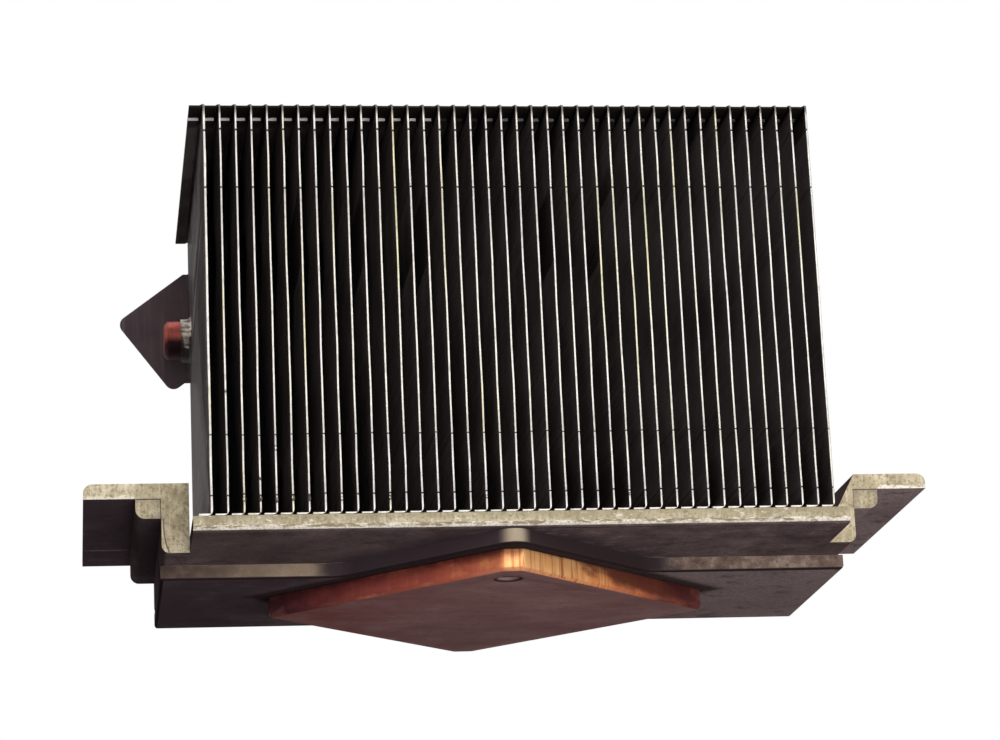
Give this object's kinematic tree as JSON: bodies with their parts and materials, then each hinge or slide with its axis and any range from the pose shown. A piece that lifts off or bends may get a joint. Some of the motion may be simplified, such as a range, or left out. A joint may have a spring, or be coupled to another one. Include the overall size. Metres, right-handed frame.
{
  "type": "cpu heatsink",
  "caption": "Passive CPU heatsink: a stack of folded sheet fins on a cast base with clip wings, a straight heat pipe through the fins and a square copper contact plate below.",
  "frame": {"origin": "middle of the copper contact face that sits on the processor", "axes": "+Z from the contact face up to the fin tops, +X along the heat pipe from its open left end to the right, +Y from the front fin edges to the rear, which is the way the air goes through"},
  "size_m": [0.1186, 0.0643, 0.0658],
  "materials": {
    "cast_aluminium": "raw cast aluminium with a slightly warm, matt skin",
    "fin_sheet": "rolled aluminium sheet with bright sheared edges",
    "contact_copper": "bare copper, brushed and tarnished",
    "pipe_copper": "bare drawn copper, a little tarnished"
  },
  "bodies": {
    "root": {"base": "cast_aluminium", "copper_plate": "contact_copper", "heat_pipe": "pipe_copper", "fin_01": "fin_sheet", "fin_02": "fin_sheet", "fin_03": "fin_sheet", "fin_04": "fin_sheet", "fin_05": "fin_sheet", "fin_06": "fin_sheet", "fin_07": "fin_sheet", "fin_08": "fin_sheet", "fin_09": "fin_sheet", "fin_10": "fin_sheet", "fin_11": "fin_sheet", "fin_12": "fin_sheet", "fin_13": "fin_sheet", "fin_14": "fin_sheet", "fin_15": "fin_sheet", "fin_16": "fin_sheet", "fin_17": "fin_sheet", "fin_18": "fin_sheet", "fin_19": "fin_sheet", "fin_20": "fin_sheet", "fin_21": "fin_sheet", "fin_22": "fin_sheet", "fin_23": "fin_sheet", "fin_24": "fin_sheet", "fin_25": "fin_sheet", "fin_26": "fin_sheet", "fin_27": "fin_sheet", "fin_28": "fin_sheet", "fin_29": "fin_sheet", "fin_30": "fin_sheet", "fin_31": "fin_sheet", "fin_32": "fin_sheet", "fin_33": "fin_sheet", "fin_34": "fin_sheet", "fin_35": "fin_sheet", "fin_36": "fin_sheet", "fin_37": "fin_sheet", "fin_38": "fin_sheet", "fin_39": "fin_sheet", "fin_40": "fin_sheet"}
  },
  "joints": []
}
